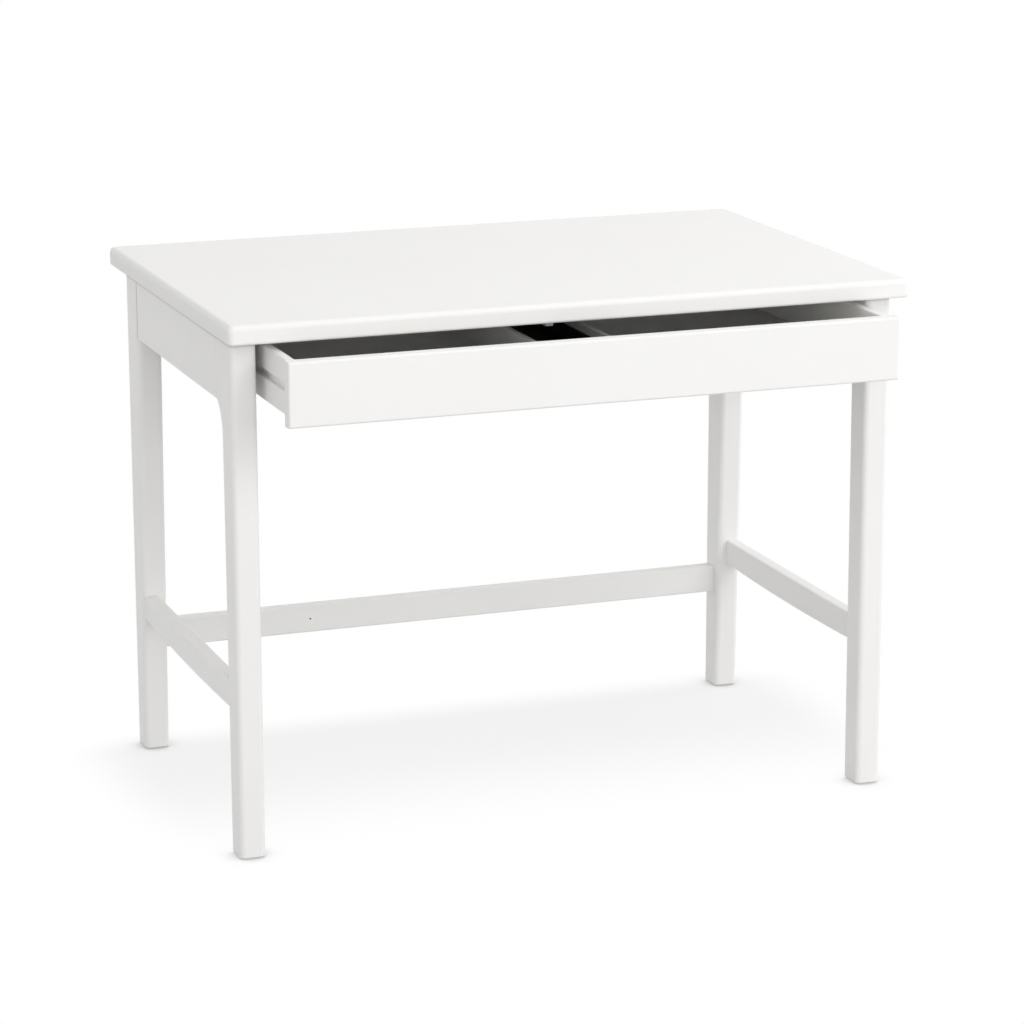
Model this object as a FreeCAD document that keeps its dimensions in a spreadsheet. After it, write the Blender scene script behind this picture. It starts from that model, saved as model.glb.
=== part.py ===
import FreeCAD, Part
import os
import re
import Sketcher

# Writing desk with one wide drawer that stands partly open. Millimetres, +Z up, floor at Z = 0.
# X runs from the left legs to the right legs, Y from the drawer front to the back.
# The left half is built piece by piece and the right half is its mirror image.

SIZES = {
    # Top
    "top_width": 1000,
    "top_depth": 660,
    "top_thick": 27,
    "top_edge_round": 8,
    "top_under_round": 4,
    "top_corner_round": 9,
    "desk_height": 760,
    # Legs, with the knee that leads each front leg into its side rail
    "leg_width": 37,
    "leg_round": 8,
    "leg_inset_side": 12,
    "leg_inset_front": 36,
    "leg_inset_back": 51,
    "front_leg_depth": 48,
    "front_foot_depth": 43,
    "rear_leg_depth": 64,
    "rear_foot_depth": 46,
    "knee_depth": 25,
    "knee_drop": 48,
    "knee_round": 3,
    # Foot glides
    "glide_height": 3,
    "glide_radius": 13,
    "glide_pin_radius": 2,
    "glide_pin_length": 18,
    # Rails under the top
    "rail_height": 94,
    "rail_thick": 20,
    "rail_round": 3,
    # Stretchers
    "stretcher_thick": 20,
    "stretcher_round": 3,
    "stretcher_dowel_spread": 18,
    "side_stretcher_height": 38,
    "side_stretcher_belly": 4,
    "side_stretcher_inset": 4,
    "side_stretcher_low": 206,
    "back_stretcher_height": 43,
    "back_stretcher_low": 156,
    "clip_hole_radius": 1.5,
    "clip_hole_depth": 12,
    "clip_hole_from_leg": 230,
    # Dowels and cam fittings of the frame
    "dowel_radius": 4,
    "dowel_length": 40,
    "rail_dowel_spread": 56,
    "cam_radius": 7.5,
    "cam_depth": 13.5,
    "cam_setback": 34,
    "cam_bolt_radius": 2.5,
    "cam_bolt_in_leg": 20,
    "hole_fit": 0.1,
    "hole_end_gap": 1,
    "cut_overrun": 1,
    # Brackets that hold the top
    "bracket_arm": 19,
    "bracket_thick": 2,
    "bracket_width": 18,
    "bracket_from_end": 60,
    "screw_radius": 2,
    "screw_head_radius": 4,
    "bracket_screw_length": 16,
    # Drawer runners; slide_fit is the running gap in the groove
    "slide_fit": 0.3,
    "runner_web_height": 32,
    "runner_screw_head": 3,
    "runner_screw_in_rail": 13,
    "runner_screw_from_end": 50,
    # Drawer
    "drawer_open": 122,
    "drawer_setback": 1,
    "drawer_side_gap": 8,
    "drawer_top_gap": 9,
    "drawer_front_height": 89,
    "drawer_front_thick": 19,
    "drawer_front_round": 3,
    "drawer_rear_gap": 8,
    "drawer_tail": 70,
    "drawer_side_thick": 13,
    "drawer_side_inset": 4.5,
    "drawer_side_drop": 1.5,
    "drawer_side_rise": 13,
    "drawer_side_round": 2,
    "drawer_back_thick": 12,
    "groove_rise": 30.5,
    "groove_height": 12,
    "groove_depth": 7,
    "panel_rise": 4,
    "panel_thick": 5,
    "panel_entry": 5,
    "housing_fit": 0.2,
    "divider_thick": 8,
    "divider_height": 46,
    "divider_entry": 3,
    "divider_centre": 55,
    "tray_height": 34,
    "tray_wall": 2,
    "tray_floor": 2.5,
    "tray_corner_round": 6,
    "tray_fit": 0.5,
    "drawer_dowel_radius": 3,
    "drawer_dowel_length": 18,
    "drawer_dowel_edge": 15,
    # Drawer stop under the middle of the top
    "stop_width": 12,
    "stop_depth": 20,
    "stop_height": 29,
    "stop_setback": 66,
    "stop_round": 2,
    "stop_screw_head": 2.5,
    "stop_screw_in_top": 14,
}

# Sizes and places that follow from the ones above. Names of x places give the distance from the middle.
LAYOUT = {
    "rest_shift": "(drawer_open - leg_inset_front - drawer_setback) / 2",
    "top_low": "desk_height - top_thick",
    "top_front": "rest_shift - top_depth / 2",
    "top_back": "rest_shift + top_depth / 2",
    "leg_length": "top_low - glide_height",
    "leg_outer": "top_width / 2 - leg_inset_side",
    "leg_inner": "leg_outer - leg_width",
    "leg_mid_x": "leg_outer - leg_width / 2",
    "front_leg_front": "top_front + leg_inset_front",
    "front_foot_mid": "front_leg_front + front_foot_depth / 2",
    "front_leg_back": "front_leg_front + front_leg_depth",
    "rear_leg_back": "top_back - leg_inset_back",
    "rear_leg_mid": "rear_leg_back - rear_foot_depth / 2",
    "rear_leg_front": "rear_leg_back - rear_leg_depth",
    "front_taper": "front_leg_depth - front_foot_depth",
    "rear_taper": "rear_leg_depth - rear_foot_depth",
    "rail_low": "top_low - rail_height",
    "rail_mid_z": "top_low - rail_height / 2",
    "rail_inner": "leg_outer - rail_thick",
    "rail_mid_x": "leg_outer - rail_thick / 2",
    "knee_back": "front_leg_back + knee_depth",
    "knee_reach": "front_leg_depth + knee_depth",
    "knee_top": "rail_low - glide_height",
    "knee_low": "knee_top - knee_drop",
    "knee_radius": "(knee_drop * knee_drop + knee_depth * knee_depth) / (2 * knee_depth)",
    "side_rail_length": "rear_leg_front - knee_back",
    "side_rail_mid_y": "(rear_leg_front + knee_back) / 2",
    "cross_length": "2 * leg_inner",
    "back_rail_front": "rear_leg_mid - rail_thick / 2",
    "back_rail_back": "rear_leg_mid + rail_thick / 2",
    "side_bar_foot": "side_stretcher_low - glide_height",
    "side_bar_head": "side_bar_foot + side_stretcher_height",
    "side_bar_reach": "rear_leg_front + rear_taper - front_leg_front",
    "side_bar_front_low": "front_foot_depth + front_taper * side_bar_foot / knee_low",
    "side_bar_front_high": "front_foot_depth + front_taper * side_bar_head / knee_low",
    "side_bar_back_low": "side_bar_reach - rear_taper * side_bar_foot / knee_top",
    "side_bar_back_high": "side_bar_reach - rear_taper * side_bar_head / knee_top",
    "side_stretcher_length": "side_bar_back_low - side_bar_front_low",
    "front_bar_joint": "front_leg_front + (side_bar_front_low + side_bar_front_high) / 2",
    "rear_bar_joint": "front_leg_front + (side_bar_back_low + side_bar_back_high) / 2",
    "side_stretcher_outer": "leg_outer - side_stretcher_inset",
    "side_stretcher_mid_x": "side_stretcher_outer - stretcher_thick / 2",
    "side_stretcher_mid_z": "side_stretcher_low + side_stretcher_height / 2",
    "belly_radius": "(side_stretcher_length * side_stretcher_length / 4"
                    " + side_stretcher_belly * side_stretcher_belly) / (2 * side_stretcher_belly)",
    "back_stretcher_front": "rear_leg_mid - stretcher_thick / 2",
    "back_stretcher_back": "rear_leg_mid + stretcher_thick / 2",
    "back_stretcher_mid_z": "back_stretcher_low + back_stretcher_height / 2",
    "cam_mid_x": "leg_inner - cam_setback",
    "cam_bolt_length": "cam_bolt_in_leg + cam_setback",
    "cam_bolt_mid_x": "leg_inner + (cam_bolt_in_leg - cam_setback) / 2",
    "bracket_inner": "bracket_arm - bracket_thick",
    "bracket_low": "top_low - bracket_arm",
    "bracket_top_seat": "top_low - bracket_thick",
    "bracket_hole": "(bracket_arm + bracket_thick) / 2",
    "back_bracket_x": "leg_inner / 2",
    "drawer_face": "front_leg_front + drawer_setback - drawer_open",
    "drawer_front_back": "drawer_face + drawer_front_thick",
    "drawer_closed_back": "drawer_front_back + drawer_open",
    "drawer_inner_depth": "back_rail_front - drawer_rear_gap - drawer_tail - drawer_back_thick"
                          " - drawer_closed_back",
    "drawer_back_front": "drawer_front_back + drawer_inner_depth",
    "drawer_back_mid_y": "drawer_back_front + drawer_back_thick / 2",
    "drawer_side_length": "drawer_inner_depth + drawer_back_thick + drawer_tail",
    "drawer_front_end": "leg_inner - drawer_side_gap",
    "drawer_front_width": "2 * drawer_front_end",
    "drawer_side_outer": "drawer_front_end - drawer_side_inset",
    "drawer_side_inner": "drawer_side_outer - drawer_side_thick",
    "drawer_side_mid_x": "drawer_side_outer - drawer_side_thick / 2",
    "drawer_inner_width": "2 * drawer_side_inner",
    "drawer_front_top": "top_low - drawer_top_gap",
    "drawer_front_low": "drawer_front_top - drawer_front_height",
    "drawer_side_low": "drawer_front_low + drawer_side_rise",
    "drawer_side_top": "drawer_front_top - drawer_side_drop",
    "drawer_side_height": "drawer_side_top - drawer_side_low",
    "drawer_dowel_low": "drawer_side_low + drawer_dowel_edge",
    "drawer_dowel_high": "drawer_side_top - drawer_dowel_edge",
    "groove_low": "drawer_side_low + groove_rise",
    "panel_low": "drawer_side_low + panel_rise",
    "panel_top": "panel_low + panel_thick",
    "panel_width": "drawer_inner_width + 2 * panel_entry",
    "panel_length": "drawer_inner_depth + 2 * panel_entry",
    "divider_length": "drawer_inner_depth + 2 * divider_entry",
    "divider_outer": "divider_centre + divider_thick / 2",
    "tray_width": "2 * divider_centre - divider_thick - 2 * tray_fit",
    "tray_length": "drawer_inner_depth - 2 * tray_fit",
    "tray_inner_width": "tray_width - 2 * tray_wall",
    "tray_inner_length": "tray_length - 2 * tray_wall",
    "tray_inner_round": "tray_corner_round - tray_wall",
    "runner_low": "groove_low + slide_fit",
    "runner_height": "groove_height - 2 * slide_fit",
    "runner_mid_z": "groove_low + groove_height / 2",
    "runner_web_low": "runner_mid_z - runner_web_height / 2",
    "runner_screw_z": "runner_mid_z + (runner_height + runner_web_height) / 4",
    "runner_tip": "drawer_side_outer - groove_depth + slide_fit",
    "runner_web_thick": "rail_inner - leg_inner",
    "runner_screw_length": "runner_web_thick + runner_screw_in_rail",
    "stop_front": "drawer_closed_back + stop_setback",
    "stop_low": "top_low - stop_height",
    "stop_screw_length": "stop_height + stop_screw_in_top",
}

doc = FreeCAD.newDocument("WritingDesk")
sheet = doc.addObject("Spreadsheet::Sheet", "Sizes")
nodes = []


def fill_sheet():
    """Write each driving size as a plain number and each derived one as a formula, with its alias."""
    cells = dict(SIZES)
    for name, formula in LAYOUT.items():
        cells[name] = "=" + formula
    for row, (name, content) in enumerate(cells.items(), start=1):
        sheet.set(f"A{row}", name)
        sheet.set(f"B{row}", str(content))
        sheet.setAlias(f"B{row}", name)
    doc.recompute()


def value(name):
    """Number that a cell of the sheet holds."""
    return float(getattr(sheet, name))


def bind(thing, path, formula):
    """Tie a property to a formula of size names."""
    thing.setExpression(path, re.sub(r"\b([a-z]\w*)", r"Sizes.\1", formula))


def place(thing, x, y, z):
    """Tie the place of an object to three formulas."""
    for axis, formula in (("x", x), ("y", y), ("z", z)):
        bind(thing, f"Placement.Base.{axis}", formula)
    return thing


def node(thing, label):
    """Name an object as a finished sub-part of the desk."""
    thing.Label = label
    nodes.append(thing)
    return thing


def mirrored(thing):
    """Right-hand copy of a left-hand object."""
    copy = doc.addObject("Part::Mirroring", thing.Name + "_mirror")
    copy.Source = thing
    copy.Base = FreeCAD.Vector(0, 0, 0)
    copy.Normal = FreeCAD.Vector(1, 0, 0)
    return copy


def with_mirror(things):
    """The left-hand objects followed by their right-hand copies."""
    return list(things) + [mirrored(thing) for thing in things]


def pair(left, label):
    """A left-hand piece and its right-hand copy, as two nodes."""
    node(left, label + "_left")
    node(mirrored(left), label + "_right")


def group(things, label):
    """Identical small pieces of both halves, as separate solids in one node."""
    compound = doc.addObject("Part::Compound", label)
    compound.Links = with_mirror(things)
    return node(compound, label)


def cut(blank, cutters, name):
    """The blank less its holes, grooves and housings."""
    tool = cutters[0]
    if len(cutters) > 1:
        tool = doc.addObject("Part::MultiFuse", name + "_cutters")
        tool.Shapes = cutters
    result = doc.addObject("Part::Cut", name)
    result.Base = blank
    result.Tool = tool
    return result


# Sketches, boards and rounded edges


def sketch_on(body, role, name):
    """Empty sketch on one of the body's own origin planes."""
    plane = next(item for item in body.Origin.OriginFeatures if item.Role == role)
    sketch = body.newObject("Sketcher::SketchObject", name)
    sketch.AttachmentSupport = [(plane, "")]
    sketch.MapMode = "FlatFace"
    return sketch


def arc_between(start, end, radius, turn):
    """Arc that bulges to the left of its chord for turn 1 and to the right for turn -1."""
    chord = end - start
    rise = radius - (radius * radius - chord.Length ** 2 / 4) ** 0.5
    aside = FreeCAD.Vector(-chord.y, chord.x, 0).normalize()
    return Part.Arc(start, (start + end) / 2 + aside * (rise * turn), end)


def draw_outline(sketch, corners, arcs):
    """Closed outline whose corners are tied to the sheet: a size name, or 0 on an axis of the sketch.

    arcs gives, for the number of a corner, the radius name and the turn of the arc that starts there.
    """
    points = [FreeCAD.Vector(x and value(x), y and value(y), 0) for x, y in corners]
    ends = []
    for number, start in enumerate(points):
        end = points[(number + 1) % len(points)]
        if number in arcs:
            radius, turn = arcs[number]
            arc = arc_between(start, end, value(radius), turn)
            index = sketch.addGeometry(arc)
            constraint = sketch.addConstraint(Sketcher.Constraint("Radius", index, value(radius)))
            bind(sketch, f"Constraints[{constraint}]", radius)
        else:
            index = sketch.addGeometry(Part.LineSegment(start, end))
        forward = sketch.getPoint(index, 1).distanceToPoint(start) < 0.001
        ends.append((index, 1, 2) if forward else (index, 2, 1))
    for number, (x, y) in enumerate(corners):
        index, first, _ = ends[number]
        before, _, last = ends[number - 1]
        sketch.addConstraint(Sketcher.Constraint("Coincident", before, last, index, first))
        for size, kind, axis in ((x, "DistanceX", -2), (y, "DistanceY", -1)):
            if size:
                datum = Sketcher.Constraint(kind, -1, 1, index, first, value(size))
                bind(sketch, f"Constraints[{sketch.addConstraint(datum)}]", size)
            else:
                sketch.addConstraint(Sketcher.Constraint("PointOnObject", index, first, axis))


def rectangle(width, height):
    """Corners of a rectangle that starts at the sketch's origin."""
    return [(0, 0), (width, 0), (width, height), (0, height)]


def board(name, role, corners, thick, arcs=None):
    """Body with one outline padded to a thickness: along +Z, +X or +Y for the XY, YZ or XZ plane."""
    body = doc.addObject("PartDesign::Body", name)
    sketch = sketch_on(body, role, name + "_outline")
    draw_outline(sketch, corners, arcs or {})
    pad = body.newObject("PartDesign::Pad", name + "_pad")
    pad.Profile = sketch
    pad.Reversed = role == "XZ_Plane"
    bind(pad, "Length", thick)
    doc.recompute()
    return body


def soften(body, radius, chosen):
    """Round the edges of a body that the test picks."""
    base = body.Tip
    edges = [f"Edge{number}" for number, edge in enumerate(base.Shape.Edges, start=1) if chosen(edge)]
    fillet = body.newObject("PartDesign::Fillet", body.Name + "_round")
    fillet.Base = (base, edges)
    bind(fillet, "Radius", radius)
    doc.recompute()


def runs_along(edge, axis):
    """True for a straight edge along the named axis."""
    if edge.Curve.TypeId != "Part::GeomLine":
        return False
    return abs(getattr(edge.tangentAt(edge.FirstParameter), axis)) > 0.999


def near(first, second):
    """True for two lengths that are the same to a hundredth of a millimetre."""
    return abs(first - second) < 0.01


# Pins, screws and boxes: pieces and, a little larger, the cutters of their holes

TURNS = {
    "x": FreeCAD.Rotation(FreeCAD.Vector(0, 1, 0), 90),
    "-x": FreeCAD.Rotation(FreeCAD.Vector(0, 1, 0), -90),
    "y": FreeCAD.Rotation(FreeCAD.Vector(1, 0, 0), -90),
    "z": FreeCAD.Rotation(),
}


def pin(name, axis, radius, length, centre):
    """Cylinder along x, y or z about a centre point."""
    cylinder = doc.addObject("Part::Cylinder", name)
    bind(cylinder, "Radius", radius)
    bind(cylinder, "Height", length)
    cylinder.Placement.Rotation = TURNS[axis]
    start = [f"{formula} - ({length}) / 2" if letter == axis else formula
             for letter, formula in zip("xyz", centre)]
    return place(cylinder, *start)


def pin_and_hole(name, axis, radius, length, centre):
    """A pin and the cutter of its hole, wider by the fit and longer by the end gaps."""
    hole = pin(name + "_hole", axis, f"{radius} + hole_fit", f"{length} + 2 * hole_end_gap", centre)
    return pin(name, axis, radius, length, centre), hole


def dowel_pair(name, axis, kind, centre, heights):
    """Two dowels of a joint, at two heights, and the cutters of their holes."""
    made = [pin_and_hole(f"{name}_{number}", axis, kind + "_radius", kind + "_length", (*centre, height))
            for number, height in enumerate(heights)]
    return [dowel for dowel, _ in made], [hole for _, hole in made]


def screw(name, axis, head, length, seat, fit="0", extra="0"):
    """Countersunk screw whose head face is centred on the seat and which points along the axis."""
    cone = doc.addObject("Part::Cone", name + "_head")
    bind(cone, "Radius1", f"screw_head_radius + {fit}")
    bind(cone, "Radius2", f"screw_radius + {fit}")
    bind(cone, "Height", head)
    shank = doc.addObject("Part::Cylinder", name + "_shank")
    bind(shank, "Radius", f"screw_radius + {fit}")
    bind(shank, "Height", f"{length} + {extra}")
    whole = doc.addObject("Part::Fuse", name)
    whole.Base = cone
    whole.Tool = shank
    whole.Placement.Rotation = TURNS[axis]
    return place(whole, *seat)


def screw_and_hole(name, axis, head, length, seat):
    """A countersunk screw and the cutter of its hole."""
    hole = screw(name + "_hole", axis, head, length, seat, "hole_fit", "hole_end_gap")
    return screw(name, axis, head, length, seat), hole


def block(name, size, corner):
    """Box with its size and its lower corner given by formulas."""
    box = doc.addObject("Part::Box", name)
    for side, formula in zip(("Length", "Width", "Height"), size):
        bind(box, side, formula)
    return place(box, *corner)


def fused(first, second, name):
    """One solid of two that touch."""
    whole = doc.addObject("Part::Fuse", name)
    whole.Base = first
    whole.Tool = second
    return whole


# Frame


def top_blank():
    """Top board with rounded corners, a full round along its upper edges and a smaller one below."""
    body = board("top_blank", "XY_Plane", rectangle("top_width", "top_depth"), "top_thick")
    soften(body, "top_corner_round", lambda edge: runs_along(edge, "z"))
    soften(body, "top_edge_round", lambda edge: near(edge.BoundBox.ZMin, value("top_thick")))
    soften(body, "top_under_round", lambda edge: near(edge.BoundBox.ZMax, 0))
    return place(body, "-top_width / 2", "top_front", "top_low")


def is_back_of_leg(edge):
    """True for the edges of a front leg's tapering back and of its knee."""
    if edge.Curve.TypeId == "Part::GeomCircle":
        return near(edge.Curve.Radius, value("knee_radius"))
    foot = edge.Vertexes[0].Point if edge.Vertexes[0].Z < edge.Vertexes[-1].Z else edge.Vertexes[-1].Point
    return near(foot.y, value("front_foot_depth")) and edge.BoundBox.ZLength > value("knee_drop")


def front_leg_blank():
    """Front leg sawn with its knee: the back of the leg sweeps out to the side rail in one arc."""
    corners = [(0, 0), ("front_foot_depth", 0), ("front_leg_depth", "knee_low"), ("knee_reach", "knee_top"),
               ("knee_reach", "leg_length"), (0, "leg_length")]
    body = board("front_leg_blank", "YZ_Plane", corners, "leg_width", {2: ("knee_radius", 1)})
    soften(body, "leg_round", lambda edge: runs_along(edge, "z") and near(edge.CenterOfMass.y, 0))
    soften(body, "knee_round", is_back_of_leg)
    return place(body, "-leg_outer", "front_leg_front", "glide_height")


def rear_leg_blank():
    """Rear post with four rounded edges; below the rail its front face tapers to the foot."""
    corners = [("rear_taper", 0), ("rear_leg_depth", 0), ("rear_leg_depth", "leg_length"),
               (0, "leg_length"), (0, "knee_top")]
    body = board("rear_leg_blank", "YZ_Plane", corners, "leg_width")
    soften(body, "leg_round", lambda edge: edge.BoundBox.ZLength > value("rail_height") / 2)
    return place(body, "-leg_outer", "rear_leg_front", "glide_height")


def side_rail_blank():
    """Rail under the top, flush with the outer faces of the legs."""
    body = board("side_rail_blank", "XZ_Plane", rectangle("rail_thick", "rail_height"), "side_rail_length")
    soften(body, "rail_round", lambda edge: runs_along(edge, "y") and near(edge.CenterOfMass.z, 0))
    return place(body, "-leg_outer", "knee_back", "rail_low")


def back_rail_blank():
    """Rail between the rear legs."""
    body = board("back_rail_blank", "YZ_Plane", rectangle("rail_thick", "rail_height"), "cross_length")
    soften(body, "rail_round", lambda edge: runs_along(edge, "x") and near(edge.CenterOfMass.z, 0))
    return place(body, "-leg_inner", "back_rail_front", "rail_low")


def side_stretcher_blank():
    """Low side bar with a straight top, a bellied underside and ends cut to the taper of the legs."""
    corners = [("side_bar_front_low", 0), ("side_bar_back_low", 0),
               ("side_bar_back_high", "side_stretcher_height"),
               ("side_bar_front_high", "side_stretcher_height")]
    body = board("side_stretcher_blank", "YZ_Plane", corners, "stretcher_thick", {0: ("belly_radius", -1)})
    soften(body, "stretcher_round", lambda edge: edge.BoundBox.YLength > value("side_stretcher_length") / 2)
    return place(body, "-side_stretcher_outer", "front_leg_front", "side_stretcher_low")


def back_stretcher_blank():
    """Low bar between the rear legs."""
    corners = rectangle("stretcher_thick", "back_stretcher_height")
    body = board("back_stretcher_blank", "YZ_Plane", corners, "cross_length")
    soften(body, "stretcher_round", lambda edge: runs_along(edge, "x"))
    return place(body, "-leg_inner", "back_stretcher_front", "back_stretcher_low")


def runner_blank():
    """Drawer runner: a web on the side rail and a tongue that reaches into the drawer side's groove."""
    web = block("runner_web", ("runner_web_thick", "side_rail_length", "runner_web_height"),
                ("-rail_inner", "knee_back", "runner_web_low"))
    tongue = block("runner_tongue", ("leg_inner - runner_tip", "side_rail_length", "runner_height"),
                   ("-leg_inner", "knee_back", "runner_low"))
    return fused(web, tongue, "runner_blank")


def bracket_blank(name, corner, turn):
    """Steel angle under the top; its upright arm lies on a rail."""
    outline = [(0, 0), ("bracket_thick", 0), ("bracket_thick", "bracket_inner"),
               ("bracket_arm", "bracket_inner"), ("bracket_arm", "bracket_arm"), (0, "bracket_arm")]
    body = board(name, "XZ_Plane", outline, "bracket_width")
    body.Placement.Rotation = FreeCAD.Rotation(FreeCAD.Vector(0, 0, 1), turn)
    return place(body, *corner)


def glide(name, y):
    """Foot glide, a disc with a pin driven up into the leg, and the cutter of the pin's hole."""
    disc = pin(name + "_disc", "z", "glide_radius", "glide_height", ("-leg_mid_x", y, "glide_height / 2"))
    stem = pin(name + "_stem", "z", "glide_pin_radius", "glide_pin_length",
               ("-leg_mid_x", y, "glide_height + glide_pin_length / 2"))
    hole = pin(name + "_hole", "z", "glide_pin_radius + hole_fit", "glide_pin_length + hole_end_gap",
               ("-leg_mid_x", y, "glide_height + (glide_pin_length + hole_end_gap) / 2"))
    return fused(disc, stem, name), hole


def heights_about(middle, spread):
    """Two heights, half a spread below and above a middle one."""
    return f"{middle} - {spread} / 2", f"{middle} + {spread} / 2"


def frame_dowels():
    """Dowels of the left rails and stretchers and the cutters of their holes, by the name of the joint."""
    rail_heights = heights_about("rail_mid_z", "rail_dowel_spread")
    side_heights = heights_about("side_stretcher_mid_z", "stretcher_dowel_spread")
    back_heights = heights_about("back_stretcher_mid_z", "stretcher_dowel_spread")
    joints = {
        "knee": ("y", ("-rail_mid_x", "knee_back"), rail_heights),
        "post": ("y", ("-rail_mid_x", "rear_leg_front"), rail_heights),
        "back": ("x", ("-leg_inner", "rear_leg_mid"), rail_heights),
        "front_bar": ("y", ("-side_stretcher_mid_x", "front_bar_joint"), side_heights),
        "rear_bar": ("y", ("-side_stretcher_mid_x", "rear_bar_joint"), side_heights),
        "cross_bar": ("x", ("-leg_inner", "rear_leg_mid"), back_heights),
    }
    dowels, holes = {}, {}
    for name, (axis, centre, heights) in joints.items():
        dowels[name], holes[name] = dowel_pair(name + "_dowel", axis, "dowel", centre, heights)
    return dowels, holes


def cam_fitting(name, back, height):
    """Bolt in the rear leg, cam lock that pulls on it from the back of a rail, and the cutters of both."""
    bolt, bolt_hole = pin_and_hole(name + "_bolt", "x", "cam_bolt_radius", "cam_bolt_length",
                                   ("-cam_bolt_mid_x", "rear_leg_mid", height))
    disc = pin(name, "y", "cam_radius", "cam_depth", ("-cam_mid_x", back + " - cam_depth / 2", height))
    lock_hole = pin(name + "_hole", "y", "cam_radius + hole_fit", "cam_depth + hole_end_gap",
                    ("-cam_mid_x", f"{back} - (cam_depth - hole_end_gap) / 2 - hole_fit", height))
    return bolt, bolt_hole, cut(disc, [bolt_hole], name + "_lock"), lock_hole


def runner_screws():
    """Three screws along the left runner and the cutters of their holes."""
    places = ("knee_back + runner_screw_from_end", "side_rail_mid_y",
              "rear_leg_front - runner_screw_from_end")
    made = [screw_and_hole(f"runner_screw_{number}", "-x", "runner_screw_head", "runner_screw_length",
                           ("-leg_inner", y, "runner_screw_z"))
            for number, y in enumerate(places)]
    return [driven for driven, _ in made], [hole for _, hole in made]


def side_bracket(name, y):
    """Bracket on the left side rail, its screws, and the cutters of the holes in the top and in the rail."""
    middle = y + " + bracket_width / 2"
    up, top_hole = screw_and_hole(name + "_top_screw", "z", "bracket_thick", "bracket_screw_length",
                                  ("bracket_hole - rail_inner", middle, "bracket_top_seat"))
    side, rail_hole = screw_and_hole(name + "_rail_screw", "-x", "bracket_thick", "bracket_screw_length",
                                     ("bracket_thick - rail_inner", middle, "top_low - bracket_hole"))
    blank = bracket_blank(name + "_blank", ("-rail_inner", y, "bracket_low"), 0)
    return cut(blank, [top_hole, rail_hole], name), [up, side], top_hole, rail_hole


def back_bracket(name, x):
    """Bracket on the left half of the back rail, its screws, and the cutters of the holes in top and rail."""
    middle = x + " + bracket_width / 2"
    up, top_hole = screw_and_hole(name + "_top_screw", "z", "bracket_thick", "bracket_screw_length",
                                  (middle, "back_rail_front - bracket_hole", "bracket_top_seat"))
    side, rail_hole = screw_and_hole(name + "_rail_screw", "y", "bracket_thick", "bracket_screw_length",
                                     (middle, "back_rail_front - bracket_thick", "top_low - bracket_hole"))
    blank = bracket_blank(name + "_blank", (x, "back_rail_front", "bracket_low"), -90)
    return cut(blank, [top_hole, rail_hole], name), [up, side], top_hole, rail_hole


def make_stop():
    """Drawer stop and its screw, as two nodes; returns the cutter of the hole in the top."""
    driven, hole = screw_and_hole("stop_screw", "z", "stop_screw_head", "stop_screw_length",
                                  ("0", "stop_front + stop_depth / 2", "stop_low"))
    blank = board("stop_blank", "XY_Plane", rectangle("stop_width", "stop_depth"), "stop_height")
    soften(blank, "stop_round", lambda edge: runs_along(edge, "z"))
    place(blank, "-stop_width / 2", "stop_front", "stop_low")
    node(cut(blank, [hole], "stop"), "drawer_stop")
    node(driven, "drawer_stop_screw")
    return hole


def make_top():
    """Top with its brackets, their screws and the drawer stop; returns the cutters for side and back rail."""
    front, front_screws, front_top_hole, front_rail_hole = side_bracket(
        "front_bracket", "knee_back + bracket_from_end")
    rear, rear_screws, rear_top_hole, rear_rail_hole = side_bracket(
        "rear_bracket", "rear_leg_front - bracket_from_end - bracket_width")
    back, back_screws, back_top_hole, back_rail_hole = back_bracket("back_bracket", "-back_bracket_x")
    top_holes = with_mirror([front_top_hole, rear_top_hole, back_top_hole]) + [make_stop()]
    node(cut(top_blank(), top_holes, "tabletop"), "tabletop")
    group([front, rear, back], "top_brackets")
    group(front_screws + rear_screws + back_screws, "bracket_screws")
    return [front_rail_hole, rear_rail_hole], [back_rail_hole]


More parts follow.
